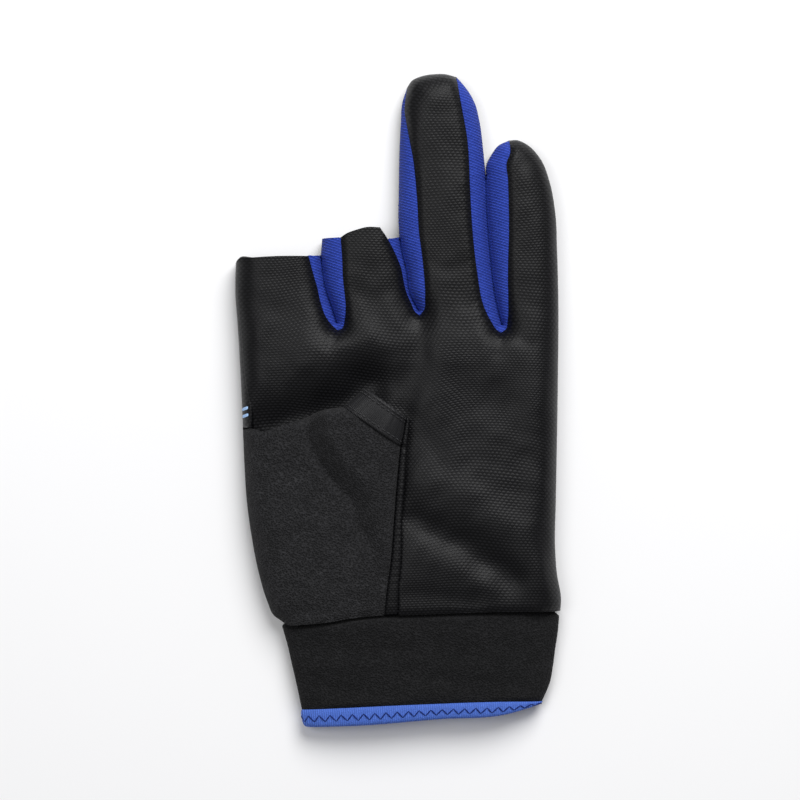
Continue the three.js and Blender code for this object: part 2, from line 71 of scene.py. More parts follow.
# Seams: how far a panel rolls down to one, how wide the roll is, and the puckers beside it
SEAM_DROP = 0.75
SEAM_REACH = 0.95
BAND_DROP = 0.55
SLIVER_DROP = 0.4
NEOPRENE_DROP = 0.7
THUMB_SEAM_DROP = 0.4
THUMB_SEAM_REACH = 0.7
PUCKER_PITCH = 2.6
PUCKER_RISE = 0.13
PUCKER_PLACE = 1.1

# The thumb
THUMB_FOOT = -68  # how far up the glove it starts
THUMB_LENGTH = 64
THUMB_BASE_HEIGHT = 13.4
THUMB_MOUTH_HEIGHT = 20.6
THUMB_BOW = 0.85  # under 1, so that it rises fast at first
THUMB_EDGE = 6  # how wide its rounded edge is
THUMB_EDGE_DROP = 1.0  # how far that edge drops by the cuff
THUMB_MOUTH_DROP = 2.4  # and how much further by the mouth
CREASE_REACH = 8.0
CREASE_DEPTH = 0.7
CREASE_WIDTH = 1.3
CREASE_START = -58  # how far up the glove it starts, and over what length it deepens
CREASE_FADE = 24
FOLD_WIDTH = 4
FOLD_DEPTH = 3.4
PALM_GAP = 0.9  # between the neoprene and the palm below it
LEATHER_GAP = 0.7  # between the neoprene and the thumb's own leather below it
HEM_HALF_DEPTH = 3.9
HEM_LIFT = 0.2  # of the hem over the thumb
HEM_SIDES = 2 / 3.6  # how round its section is: 1 is an ellipse, and less is squarer
HEM_TOP = 2 / 2.3
ROLL_ROWS = 110
ROLL_TURNS = 16
ROLL_LIFT = 0.8
ROLL_RIPPLE = 0.06
TUCK_STEPS = 10
THUMB_LEATHER_BASE = (217, 616)  # how far left the leather goes under the thumb, by the cuff
THUMB_LEATHER_MOUTH = (210, 396)  # and by the mouth

# The cuff and its binding
CUFF_SEAM_DEPTH = 11.2
CUFF_MOUTH_DEPTH = 10.2
CUFF_TUCK = 1.7  # how far in its upper edge lies
CUFF_OVERLAP = 1.5  # how far its upper edge reaches up into the hand
CUFF_CLEARANCE = 0.5
TUBE_MIDDLE = 0.44  # how high the widest place of the cuff is, as a share of its depth
TUBE_SIDES = 2 / 2.9  # how round its section is: 1 is an ellipse, and less is squarer
TUBE_TOP = 2 / 2.4
TUBE_BOTTOM = 2 / 3.4
CUFF_ROWS = 56
CUFF_STEPS = 200
ZIGZAG_PITCH = 3.5

# The two bars printed beside the index finger
BARS = [(81.6, 408.5), (82.0, 415.5)]

# Meshes
GRID = 0.85  # spacing of a panel's points
FINE_GRID = 0.75
ROW_PITCH = 0.866  # spacing of the rows, as a share of the grid
RIM_DEPTHS = (0.14, 0.5)  # where rings of points lie inside an outline
RIM_WIDTH = 1.0

# Lines that the panels end on or fold along, as places in the photograph
LINES = {
    # Outline of the hand, from the cuff seam up its left side and on round the fingers
    "left side": [(118, 622), (110, 616), (104, 603), (95, 573), (88, 537), (83.5, 505), (80.5, 460),
                  (78.5, 410), (74, 325), (71.5, 290), (72, 262)],
    "index end": [(72, 262), (74.5, 259), (90, 257.3), (115, 255.8), (145.7, 255.6)],
    "index band end": [(145.7, 255.6), (157.6, 254.5)],
    "index seam": [(174.6, 329.6), (170.4, 326), (163.2, 316.8), (157.2, 300), (154.1, 285.6),
                   (150, 271.2), (145.7, 255.6)],
    "index gap": [(157.6, 254.5), (158.9, 266.4), (160.8, 280.8), (163.7, 292.8), (168, 304.8),
                  (173.5, 322)],
    "middle side": [(157.6, 254.5), (158.9, 237.6)],
    "middle band end": [(158.9, 237.6), (177.6, 237.1)],
    "middle left seam": [(174.6, 329.6), (178.8, 328.3), (181.9, 319.2), (182.9, 307.2), (181.2, 290.4),
                         (180, 276), (179.3, 259.2), (177.6, 237.1)],
    "middle end": [(177.6, 237.1), (184, 233), (194.4, 229.2), (204, 226.8), (217.2, 227)],
    "middle corner": [(217.2, 227), (225.6, 239.5)],
    "middle right seam": [(256.8, 314.4), (253.2, 312), (248.4, 302.4), (243.6, 291.6), (240.5, 278.4),
                          (238.8, 268.8), (235.2, 259.2), (230.9, 249.6), (225.6, 239.5)],
    "middle outer end": [(225.6, 239.5), (236.4, 236)],
    "middle gap": [(236.4, 236), (238.1, 244.8), (240.5, 256.8), (243.6, 268.8), (247.2, 292.8),
                   (255.6, 309)],
    "ring left side": [(236.4, 236), (235.5, 216), (235.9, 194), (236.9, 144), (238.1, 120),
                       (239.5, 100.8), (244.3, 86)],
    "ring left seam": [(256.8, 314.4), (261.1, 309.6), (262.1, 297.6), (260.4, 266.4), (256.3, 232.8),
                       (253.9, 194.4), (249.6, 156), (243.6, 122.4), (241.7, 110.4), (242.4, 98.4),
                       (244.3, 86)],
    "ring tip": [(244.3, 86), (248.4, 79.2), (259.2, 73.9), (271.2, 72), (283.2, 72), (294, 75.1)],
    "ring right side": [(294, 75.1), (300, 81.6), (307.2, 91.2), (313.2, 103.2), (316.8, 117.6),
                        (321.2, 151.2), (323.4, 175)],
    "ring gap": [(323.4, 175), (324, 204), (325.5, 228), (327.6, 252), (333.6, 300), (339.6, 324)],
    "ring right seam": [(338.4, 332), (334.8, 330), (328.8, 321.6), (322.8, 309.6), (314.4, 271.2),
                        (309.6, 228), (307.2, 184.8), (305.3, 144), (300, 110.4), (296.4, 91.2),
                        (294, 75.1)],
    "little left side": [(323.4, 175), (324, 163.2), (328.8, 153.6), (336, 144), (346.8, 138.7)],
    "little seam": [(338.4, 332), (343.2, 328.8), (345.2, 319.2), (345.6, 300), (345.2, 276),
                    (346.1, 228), (345.2, 180), (344.4, 160.8), (347.3, 153.6), (346.8, 138.7)],
    "right side": [(346.8, 138.7), (355.2, 138.5), (364.8, 142.8), (379.2, 158.4), (387.6, 180),
                   (393.1, 208.8), (395.3, 252), (396.5, 300), (396, 380), (394, 500), (393.2, 548),
                   (394.8, 572), (399.2, 603), (398.4, 611.6)],
    "cuff seam": [(398.4, 611.6), (324, 612.3), (276, 614), (240, 615.2), (222, 615.4), (187.2, 618.8),
                  (165.6, 622.4), (141.6, 624.8), (124, 625), (118, 622)],

    # Palm leather beside the thumb
    "leather left": [(86.9, 428), (87.6, 420), (87.6, 406.4), (82.8, 384), (78, 336), (74.4, 300),
                     (72, 262)],
    "root edge": [(86.9, 428), (98.4, 430.9), (120, 424.4), (139.2, 418.4), (160.8, 409.5),
                  (180.7, 406.4)],
    "under thumb": [(180.7, 406.4), (200, 440), (206, 520), (212, 616)],

    # Thumb
    "hem lower": [(180.7, 406.4), (209, 427), (237.9, 445.4)],
    "hem upper": [(203.3, 388.2), (223.5, 403), (243.1, 416.8)],
    "thumb seam": [(221.3, 615.4), (223.2, 596), (228, 560), (231.6, 514.4), (234.7, 476),
                   (237.9, 445.4), (243.1, 416.8)],
    "thumb roll": [(236, 614), (236.5, 584), (238.8, 562), (239.5, 524), (241.7, 488), (244.3, 452),
                   (247.5, 419.4)],
    "thumb crease": [(138, 410), (142.8, 420.8), (146.4, 440), (156, 461.6), (168, 478.4), (187.2, 500),
                     (194.4, 521.6), (204, 543), (214, 616)],
    "thumb fold": [(139.2, 418.4), (160.8, 409.5), (180.7, 406.4)],

    # Cuff and its binding
    "cuff left": [(117, 619), (123.6, 641.6), (128.4, 663.2), (133.2, 684.8), (138.5, 711)],
    "cuff right": [(397.5, 608), (396, 629.6), (393.6, 646.4), (391.2, 665.6), (388, 684),
                   (380, 702.5)],
    "binding top": [(138.5, 711), (252, 705.2), (348, 702.3), (380, 702.5)],
    "binding end": [(141.8, 728.3), (204, 725.6), (276, 719.6), (348, 714.5), (376, 706)],
}

SIDE_NAMES = ["left side", "index gap", "middle side", "middle gap", "ring left side", "ring tip",
              "ring right side", "ring gap", "little left side", "right side"]
FINGER_SEAMS = ["index seam", "middle left seam", "middle right seam", "ring left seam", "ring right seam",
                "little seam"]
SEAM_NAMES = FINGER_SEAMS + ["cuff seam", "root edge", "leather left", "thumb seam", "thumb roll",
                             "thumb crease", "thumb fold", "hem lower", "ring tip"]

# Folds and dents of the palm: the line each follows, how wide it is and how far it rises
FOLDS = {
    "ridge across the palm": ([(256, 478), (300, 496), (345, 532), (388, 580)], 7.0, 1.6),
    "valley below it": ([(252, 520), (300, 545), (350, 580)], 4.5, -1.7),
    "heel swell": ([(256, 556), (285, 566), (320, 582)], 4.5, 0.55),
    "heel dip": ([(246, 592), (275, 594), (310, 602)], 3.5, -0.6),
    "dip under the thumb": ([(206, 560), (226, 500), (236, 446)], 8.0, -2.6),
    "dent above the root": ([(96, 433), (140, 418), (183, 405), (206, 388)], 8.5, -5.2),
    "valley from the middle crotch": ([(256, 322), (256, 350), (246, 385), (240, 408)], 5.0, -1.3),
    "swell below the index": ([(146, 352), (180, 348), (206, 342)], 6.0, 0.9),
    "swell of the index pad": ([(100, 330), (130, 338)], 9.0, 0.7),
    "swell of the ring pad": ([(275, 345), (300, 352), (325, 354)], 8.0, 0.8),
    "hollow of the palm": ([(300, 385), (340, 410), (365, 450)], 7.0, -0.6),
    "edge pad of the palm": ([(372, 400), (376, 460), (374, 520)], 6.0, 0.6),
    "crease below the index crotch": ([(174, 331), (166, 346)], 2.0, -0.35),
    "crease below the ring crotch": ([(339, 333), (334, 352)], 2.2, -0.35),
    "crease right of it": ([(350, 334), (368, 343)], 2.2, -0.25),
    "bend of the ring finger": ([(266, 262), (284, 268), (304, 262)], 3.0, -0.3),
    "bend of the middle finger": ([(188, 292), (208, 297), (234, 288)], 3.0, -0.3),
    "life line": ([(242, 408), (262, 432), (278, 462)], 3.0, -0.4),
}


# Lines in plan


def to_mm(point):
    """A place in the photograph as one on the glove, from its middle."""
    return ((point[0] - MIDDLE[0]) * PIXEL, (MIDDLE[1] - point[1]) * PIXEL)


def distances(points):
    """How far along a line each of its points is."""
    steps = np.linalg.norm(np.diff(points, axis=0), axis=1)
    return np.concatenate([[0], np.cumsum(steps)])


def resample(points, step):
    """The same line with points about a step apart."""
    along = distances(points)
    count = max(2, int(math.ceil(along[-1] / step)) + 1)
    at = np.linspace(0, along[-1], count)
    return np.column_stack([np.interp(at, along, points[:, k]) for k in (0, 1)])


def tangents(points, lengths):
    """The way a smooth line goes at each of its points; lengths are those of its spans."""
    slope = np.diff(points, axis=0) / lengths[:, None]
    result = np.empty_like(points)
    result[0] = slope[0]
    result[-1] = slope[-1]
    before = lengths[:-1, None]
    after = lengths[1:, None]
    result[1:-1] = (slope[:-1] * after + slope[1:] * before) / (before + after)
    return result


def trace(places, step=0.7):
    """A smooth line through places in the photograph, as points about a step apart."""
    p = np.array([to_mm(place) for place in places])
    if len(p) > 2:
        lengths = np.maximum(np.linalg.norm(np.diff(p, axis=0), axis=1), 1e-6)
        tangent = tangents(p, lengths)
        t = np.linspace(0, 1, 24, endpoint=False)[:, None]
        spans = []
        for i, length in enumerate(lengths):
            a = (1 + 2 * t) * (1 - t) ** 2 * p[i] + t * (1 - t) ** 2 * length * tangent[i]
            b = t * t * (3 - 2 * t) * p[i + 1] + t * t * (t - 1) * length * tangent[i + 1]
            spans.append(a + b)
        p = np.vstack(spans + [p[-1:]])
    return resample(p, step)


class Line:
    """A line in plan that says how far points are from it, and where along it they are."""

    def __init__(self, points, step=0.5):
        self.p = resample(np.asarray(points, float), step)
        self.s = distances(self.p)
        self.tree = kdtree.KDTree(len(self.p))
        for i, (x, y) in enumerate(self.p):
            self.tree.insert((x, y, 0), i)
        self.tree.balance()

    def near(self, xy):
        """For each point its distance, the place along the line, and its side: 1 is left, -1 is right."""
        index = np.array([self.tree.find((x, y, 0))[1] for x, y in xy], int)
        best = np.full(len(xy), np.inf)
        where = np.zeros(len(xy))
        side = np.zeros(len(xy))
        for first in (index - 1, index):
            i = np.clip(first, 0, len(self.p) - 2)
            a = self.p[i]
            ab = self.p[i + 1] - a
            length = np.maximum((ab * ab).sum(1), 1e-12)
            t = np.clip(((xy - a) * ab).sum(1) / length, 0, 1)
            off = xy - (a + ab * t[:, None])
            d = np.linalg.norm(off, axis=1)
            closer = d < best
            best = np.where(closer, d, best)
            where = np.where(closer, self.s[i] + t * np.sqrt(length), where)
            cross = ab[:, 0] * (xy - a)[:, 1] - ab[:, 1] * (xy - a)[:, 0]
            side = np.where(closer, np.sign(cross), side)
        return best, where, side


def closed(*chains):
    """One closed outline out of chains, each a traced line, in order."""
    points = []
    for chain in chains:
        for p in chain:
            if not points or np.hypot(*(p - points[-1])) > 1e-3:
                points.append(p)
    if np.hypot(*(points[0] - points[-1])) < 1e-3:
        points.pop()
    return np.array(points)


def inside(xy, outline):
    """Which points are inside an outline."""
    x = xy[:, 0]
    y = xy[:, 1]
    result = np.zeros(len(xy), bool)
    for (x1, y1), (x2, y2) in zip(outline, np.roll(outline, -1, axis=0)):
        if y1 != y2:
            crosses = ((y1 > y) != (y2 > y)) & (x < (x2 - x1) * (y - y1) / (y2 - y1) + x1)
            result ^= crosses
    return result


T = {name: trace(line) for name, line in LINES.items()}
SIDES = [Line(T[name]) for name in SIDE_NAMES]
SEAMS = {name: Line(T[name]) for name in SEAM_NAMES}
RELIEF = [(Line(trace(line, 1.0)), wide, rise) for line, wide, rise in FOLDS.values()]


def back(name):
    """A traced line, the other way along."""
    return T[name][::-1]


def at_shares(line, share):
    """The places at shares of the way along a line."""
    ends = np.linspace(0, 1, len(line))
    return np.column_stack([np.interp(share, ends, line[:, k]) for k in (0, 1)])


# Heights


def smooth(t):
    """From 0 to 1 with soft ends."""
    t = np.clip(t, 0, 1)
    return t * t * (3 - 2 * t)


def power(value, exponent):
    """A power that keeps the sign."""
    return np.copysign(abs(value) ** exponent, value)


def rounded(d, reach, roundness):
    """A rise from 0 at a rim to 1 at a reach from it, round like the side of a tube."""
    q = 1 - np.minimum(d, reach) / reach
    return (1 - q ** roundness) ** (1 / roundness)


def waves(xy, size, seed):
    """Soft noise from -1 to 1, with lumps about a size wide."""
    return np.array([noise.noise(Vector((x / size, y / size, seed))) for x, y in xy])


def lumps(xy, kinds):
    """Noise of several kinds, each (rise, size, seed)."""
    return sum(rise * waves(xy, size, seed) for rise, size, seed in kinds)


def side_distance(xy):
    return np.min([line.near(xy)[0] for line in SIDES], axis=0)


def hand_height(xy):
    """The upper surface of the hand, without folds."""
    d = side_distance(xy)
    depth = np.interp(xy[:, 1], list(HAND_DEPTHS), list(HAND_DEPTHS.values()))
    rise = rounded(d, ROLL, ROUNDNESS)
    return SEAM_HEIGHT + (depth - SEAM_HEIGHT) * rise + CROWN * (1 - np.exp(-d / CROWN_REACH))


def underside(xy):
    rise = rounded(side_distance(xy), UNDERSIDE_ROLL, UNDERSIDE_ROUNDNESS)
    return SEAM_HEIGHT * (1 - rise) + UNDERSIDE_CLEARANCE


def roll_down(z, xy, names, drop=SEAM_DROP, reach=SEAM_REACH):
    """Lowers a panel towards its seams, with the small puckers that the stitches pull in."""
    for name in names:
        d, s, _ = SEAMS[name].near(xy)
        pucker = PUCKER_RISE * np.sin(2 * math.pi * s / PUCKER_PITCH)
        z = z - drop * np.exp(-(d / reach) ** 2)
        z = z + pucker * np.exp(-((d - PUCKER_PLACE) / PUCKER_PLACE) ** 2)
    return z


def relief(xy):
    """The folds and dents of the palm."""
    z = np.zeros(len(xy))
    for line, wide, rise in RELIEF:
        d = line.near(xy)[0]
        z += rise * np.exp(-(d / wide) ** 2)
    return z


def palm_height(xy):
    inner = smooth(side_distance(xy) / FOLD_FADE)
    z = hand_height(xy)
    z += inner * relief(xy)
    z += inner * lumps(xy, PALM_LUMPS)
    z = roll_down(z, xy, FINGER_SEAMS + ["cuff seam", "ring tip"])
    left_of_roll = SEAMS["thumb roll"].near(xy)[2] > 0
    below_mouth = xy[:, 1] < T["thumb roll"][-1, 1]
    return np.where(left_of_roll & below_mouth, np.minimum(z, thumb_height(xy) - NEOPRENE - PALM_GAP), z)


def band_height(xy):
    """The knit bands between the fingers, a little below the leather."""
    z = hand_height(xy) - BAND_DEPTH
    z += lumps(xy, BAND_LUMPS) * smooth(side_distance(xy) / 3)
    return roll_down(z, xy, FINGER_SEAMS, BAND_DROP)


def edge_height(xy):
    """The edge of the back panel that comes round beside the index finger."""
    return roll_down(hand_height(xy), xy, ["leather left"], SLIVER_DROP)


def thumb_share(y):
    """How far up the thumb a place is, from the cuff seam to the mouth."""
    return np.clip((y - THUMB_FOOT) / THUMB_LENGTH, 0, 1)


def thumb_top(xy):
    """The top of the thumb, as it rises to its mouth and rounds off to its seam."""
    share = thumb_share(xy[:, 1])
    crown = THUMB_BASE_HEIGHT + (THUMB_MOUTH_HEIGHT - THUMB_BASE_HEIGHT) * share ** THUMB_BOW
    edge_drop = THUMB_EDGE_DROP + THUMB_MOUTH_DROP * share
    edge = SEAMS["thumb seam"].near(xy)[0]
    return crown - edge_drop * (1 - rounded(edge, THUMB_EDGE, 2)) + lumps(xy, THUMB_LUMPS)


def thumb_height(xy):
    """The neoprene: the root of the thumb beside the palm, rising into the top of the thumb."""
    root = hand_height(xy) - ROOT_DEPTH
    root += smooth(side_distance(xy) / FOLD_FADE) * lumps(xy, ROOT_LUMPS)
    d, _, side = SEAMS["thumb crease"].near(xy)
    over = smooth(side * d / CREASE_REACH)
    z = root * (1 - over) + thumb_top(xy) * over
    depth = CREASE_DEPTH * smooth((xy[:, 1] - CREASE_START) / CREASE_FADE)
    z -= depth * np.exp(-(d / CREASE_WIDTH) ** 2)
    fold = SEAMS["thumb fold"].near(xy)[0]
    z -= FOLD_DEPTH * (1 - rounded(fold, FOLD_WIDTH, 2))
    z = roll_down(z, xy, ["cuff seam", "root edge"], NEOPRENE_DROP)
    return roll_down(z, xy, ["hem lower", "thumb seam"], THUMB_SEAM_DROP, THUMB_SEAM_REACH)


# Meshes


def to_mesh(name, points, faces):
    mesh = bpy.data.meshes.new(name)
    mesh.from_pydata([tuple(c * METRES for c in p) for p in points], [], faces)
    mesh.validate()
    mesh.shade_smooth()
    piece = bpy.data.objects.new(name, mesh)
    bpy.context.scene.collection.objects.link(piece)
    return piece


def grid_points(outline, grid):
    """Points in even rows, over the box of an outline."""
    low = outline.min(0)
    high = outline.max(0)
    rows = []
    for j, y in enumerate(np.arange(low[1], high[1], grid * ROW_PITCH)):
        x = np.arange(low[0] + (j % 2) * grid / 2, high[0], grid)
        rows.append(np.column_stack([x, np.full(len(x), y)]))
    return np.vstack(rows)


def rim_rings(outline, border):
    """Rings of points close inside an outline, where the panel rolls down to its seam."""
    step = np.roll(outline, -1, axis=0) - np.roll(outline, 1, axis=0)
    length = np.maximum(np.linalg.norm(step, axis=1), 1e-9)
    normal = np.column_stack([-step[:, 1], step[:, 0]]) / length[:, None]
    rings = []
    for depth in RIM_DEPTHS:
        for way in (1, -1):
            ring = outline + normal * depth * way
            ring = ring[inside(ring, outline)]
            rings.append(ring[border.near(ring)[0] > depth * 0.8])
    return rings


def plan_mesh(outline, height, grid=GRID, upward=True, valley=None):
    """Points and faces of a panel: its outline in plan, filled, and raised to a height."""
    border = Line(np.vstack([outline, outline[:1]]), 0.35)
    fill = grid_points(outline, grid)
    fill = fill[inside(fill, outline)]
    fill = fill[border.near(fill)[0] > RIM_WIDTH]
    rings = rim_rings(outline, border)
    if valley is not None:
        valley = valley[inside(valley, outline)]
        valley = valley[border.near(valley)[0] > 0.3]
        rings.append(valley)
        fill = fill[Line(valley).near(fill)[0] > 0.5]
    points = np.vstack([outline, *rings, fill])
    count = len(outline)
    edges = [(i, (i + 1) % count) for i in range(count)]
    verts, _, faces, _, _, _ = delaunay_2d_cdt([Vector(p) for p in points], edges, [], 1, 1e-4)
    xy = np.array([tuple(v) for v in verts])
    xyz = np.column_stack([xy, height(xy)])
    faces = [tuple(f) if upward else tuple(reversed(f)) for f in faces]
    return xyz, faces


def grid_faces(rows, columns, ring):
    """Faces of rows of points; each row is closed into a ring, or not."""
    faces = []
    for i in range(rows - 1):
        for j in range(columns if ring else columns - 1):
            k = (j + 1) % columns
            faces.append((i * columns + j, i * columns + k, (i + 1) * columns + k, (i + 1) * columns + j))
    return faces


def merged(*parts):
    """Several meshes' points and faces as one."""
    points = []
    faces = []
    for xyz, part in parts:
        start = len(points)
        points.extend(tuple(p) for p in xyz)
        faces.extend(tuple(i + start for i in f) for f in part)
    return points, faces


def rounder(piece):
    """One level of subdivision."""
    modifier = piece.modifiers.new("smooth", "SUBSURF")
    modifier.levels = 1
    modifier.render_levels = 1


def finish_piece(piece, material, nodes=(), thickness=0.0):
    piece.data.materials.append(material)
    if thickness:
        solidify = piece.modifiers.new("thickness", "SOLIDIFY")
        solidify.thickness = thickness * METRES
        solidify.offset = -1
    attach(piece, "root")
    if nodes:
        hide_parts(*nodes)
    return piece


# Material nodes. A pattern is a function of the tree; sizes and depths are in mm.


def node(tree, kind, inputs=None, **settings):
    made = tree.nodes.new(kind)
    for key, value in settings.items():
        setattr(made, key, value)
    for key, value in (inputs or {}).items():
        if isinstance(value, bpy.types.NodeSocket):
            tree.links.new(value, made.inputs[key])
        else:
            made.inputs[key].default_value = value
    return made


def calc(tree, operation, *values):
    return node(tree, "ShaderNodeMath", dict(enumerate(values)), operation=operation).outputs[0]


def vector(tree, operation, *values):
    return node(tree, "ShaderNodeVectorMath", dict(enumerate(values)), operation=operation).outputs


def places(tree):
    """The object's own coordinates."""
    return node(tree, "ShaderNodeTexCoord").outputs["Object"]


def blotches(tree, size, detail=3.0):
    """Noise with lumps of a size."""
    inputs = {"Vector": places(tree), "Scale": 1 / (size * METRES), "Detail": detail}
    return node(tree, "ShaderNodeTexNoise", inputs).outputs[0]


def shades(tree, factor, dark, light):
    mix = node(tree, "ShaderNodeMix", {"Factor": factor}, data_type="RGBA")
    mix.inputs[6].default_value = (*dark, 1)
    mix.inputs[7].default_value = (*light, 1)
    return mix.outputs[2]


def spread(tree, factor, low, high):
    return node(tree, "ShaderNodeMapRange", {0: factor, 3: low, 4: high}).outputs[0]


def lens_emboss(tree):
    """Rows of small lens shapes, each row set half a lens along from the last; the rows bend softly."""
    wide = 1.4
    tall = 0.88
    drift = 0.012  # how far the rows bend, in metres
    bend_scale = 22.0
    pinch = 4.4  # how fast a lens narrows to its ends
    fullness = 0.46  # half its height, as a share of the row
    steepness = 3.5
    where = places(tree)
    inputs = {"Vector": where, "Scale": bend_scale, "Detail": 1.0}
    bend = node(tree, "ShaderNodeTexNoise", inputs).outputs["Color"]
    bent = vector(tree, "MULTIPLY_ADD", bend, (drift, drift, 0), where)[0]
    lenses = vector(tree, "MULTIPLY", bent, (1000 / wide, 1000 / tall, 1))[0]
    xyz = node(tree, "ShaderNodeSeparateXYZ", {0: lenses}).outputs
    odd_row = calc(tree, "MODULO", calc(tree, "FLOOR", xyz[1]), 2.0)
    along = calc(tree, "ADD", xyz[0], calc(tree, "MULTIPLY", odd_row, 0.5))
    across = calc(tree, "SUBTRACT", calc(tree, "FRACT", along), 0.5)
    up = calc(tree, "ABSOLUTE", calc(tree, "SUBTRACT", calc(tree, "FRACT", xyz[1]), 0.5))
    narrower = calc(tree, "MULTIPLY", calc(tree, "MULTIPLY", across, across), pinch)
    half_height = calc(tree, "MULTIPLY", calc(tree, "SUBTRACT", 1.0, narrower), fullness)
    rise = calc(tree, "MAXIMUM", calc(tree, "SUBTRACT", half_height, up), 0.0)
    return calc(tree, "MINIMUM", calc(tree, "MULTIPLY", rise, steepness), 1.0)


def ribs(pitch, direction):
    """Straight ribs across a direction."""
    def height(tree):
        along = vector(tree, "DOT_PRODUCT", places(tree), direction)["Value"]
        turn = calc(tree, "MULTIPLY", along, 2 * math.pi * 1000 / pitch)
        return spread(tree, calc(tree, "SINE", turn), -1.0, 1.0)
    return height


def grain(size, detail=2.0):
    return lambda tree: blotches(tree, size, detail)


def knots(size):
    """Small round loops, as a knit's face has."""
    def height(tree):
        inputs = {"Vector": places(tree), "Scale": 1 / (size * METRES)}
        return node(tree, "ShaderNodeTexVoronoi", inputs).outputs["Distance"]
    return height


def two_tone(size, dark, light):
    return lambda tree: shades(tree, blotches(tree, size), dark, light)


def painted_relief_shade(height, size, dark, light):
    """A painted highlight on a pattern's high places and painted shade between them, over soft blotches
    that vary its strength.
    """
    def colour(tree):
        blend = calc(tree, "MULTIPLY", height(tree), spread(tree, blotches(tree, size), 0.45, 1.3))
        return shades(tree, calc(tree, "MINIMUM", blend, 1.0), dark, light)
    return colour


def varied(size, low, high):
    return lambda tree: spread(tree, blotches(tree, size), low, high)


def material(name, colour, roughness, bumps, gloss=0.2, sheen=0.0):
    """colour and roughness are patterns; bumps is a list of (pattern, depth)."""
    made = bpy.data.materials.new(name)
    made.use_nodes = True
    tree = made.node_tree
    shader = tree.nodes["Principled BSDF"]
    tree.links.new(colour(tree), shader.inputs["Base Color"])
    tree.links.new(roughness(tree), shader.inputs["Roughness"])
    normal = None
    for height, depth in bumps:
        inputs = {"Height": height(tree), "Distance": depth * METRES, "Strength": 1.0}
        if normal:
            inputs["Normal"] = normal
        normal = node(tree, "ShaderNodeBump", inputs).outputs[0]
    tree.links.new(normal, shader.inputs["Normal"])
    shader.inputs["Specular IOR Level"].default_value = gloss
    shader.inputs["Sheen Weight"].default_value = sheen
    shader.inputs["Sheen Roughness"].default_value = 0.5
    return made


# Materials


def leather():
    """Synthetic leather, satin, with a lens emboss; its colour is lighter on the lenses' tops, a painted
    highlight, and darker between them, painted shade.
    """
    colour = painted_relief_shade(lens_emboss, 6, (0.003, 0.003, 0.0035), (0.010, 0.010, 0.0115))
    bumps = [(lens_emboss, 0.06), (grain(0.5), 0.03)]
    return material("leather", colour, varied(9, 0.36, 0.5), bumps, gloss=0.17)


def neoprene(name, light):
    """The knit face of neoprene; light is the brightness of its loops, partly their own speckled colour and
    partly a painted highlight, with painted shade between them.
    """
    colour = painted_relief_shade(knots(0.55), 4, (0.001, 0.001, 0.0012), (light, light, light * 1.08))
    bumps = [(knots(0.55), 0.4), (grain(1.6), 0.2)]
    return material(name, colour, varied(5, 0.75, 0.9), bumps, gloss=0.15, sheen=0.03)


def blue_knit():
    rows = ribs(0.9, (0.35, 1, 0))
    # Painted highlight on the ribs' tops and painted shade between them.
    colour = painted_relief_shade(rows, 5, (0.018, 0.040, 0.27), (0.050, 0.108, 0.68))
    bumps = [(rows, 0.16), (knots(0.5), 0.1)]
    return material("blue_knit", colour, varied(5, 0.7, 0.9), bumps, gloss=0.15, sheen=0.03)


def hem_tape():
    rows = ribs(0.6, (1, 0.7, 0))
    # Painted highlight on the ribs' tops and painted shade between them.
    colour = painted_relief_shade(rows, 4, (0.006, 0.006, 0.007), (0.018, 0.018, 0.021))
    bumps = [(rows, 0.04), (grain(0.5), 0.06)]
    return material("hem_tape", colour, varied(4, 0.45, 0.6), bumps, gloss=0.3, sheen=0.02)


def blue_binding():
    rows = ribs(0.7, (1, 0.1, 0))
    # Painted highlight on the ribs' tops and painted shade between them.
    colour = painted_relief_shade(rows, 3, (0.06, 0.13, 0.5), (0.13, 0.27, 0.9))
    bumps = [(rows, 0.1), (knots(0.5), 0.08)]
    return material("blue_binding", colour, varied(4, 0.65, 0.85), bumps, gloss=0.15, sheen=0.04)


def thread(name, dark, light, low, high):
    """Twisted thread; low and high are the limits of its roughness."""
    return material(name, two_tone(1.0, dark, light), varied(2, low, high), [(ribs(0.3, (1, 1, 0)), 0.03)])


def pale_blue_print():
    colour = two_tone(1.0, (0.3, 0.5, 0.85), (0.45, 0.65, 0.95))
    return material("pale_blue_print", colour, varied(2, 0.5, 0.6), [(grain(0.5), 0.03)])


def floor_white():
    colour = two_tone(400, (0.86, 0.86, 0.87), (0.9, 0.9, 0.91))
    return material("floor_white", colour, varied(300, 0.8, 0.9), [(grain(60), 0.01)])


LEATHER = leather()
NEOPRENE_CLOTH = neoprene("neoprene", 0.034)
CUFF_CLOTH = neoprene("cuff_neoprene", 0.017)
BLUE_KNIT = blue_knit()
HEM_CLOTH = hem_tape()
BINDING_CLOTH = blue_binding()
DARK_BLUE_THREAD = thread("dark_blue_thread", (0.004, 0.012, 0.10), (0.008, 0.025, 0.2), 0.6, 0.8)
GREY_THREAD = thread("grey_thread", (0.03, 0.03, 0.032), (0.06, 0.06, 0.064), 0.5, 0.7)
PALE_BLUE_PRINT = pale_blue_print()


# Hand


def palm_foot():
    """The cuff seam, from the right as far as the leather goes under the thumb."""
    seam = T["cuff seam"]
    return seam[seam[:, 0] > T["under thumb"][-1, 0] + 0.8]


def palm_panel():
    outline = closed(T["leather left"], T["index end"], back("index seam"), T["middle left seam"],
                     T["middle end"], T["middle corner"], back("middle right seam"), T["ring left seam"],
                     T["ring tip"], back("ring right seam"), T["little seam"], T["right side"],
                     palm_foot(), back("under thumb"), back("root edge"))
    piece = to_mesh("palm_panel_leather", *plan_mesh(outline, palm_height))
    return finish_piece(piece, LEATHER, ["palm_panel"], SHEET)


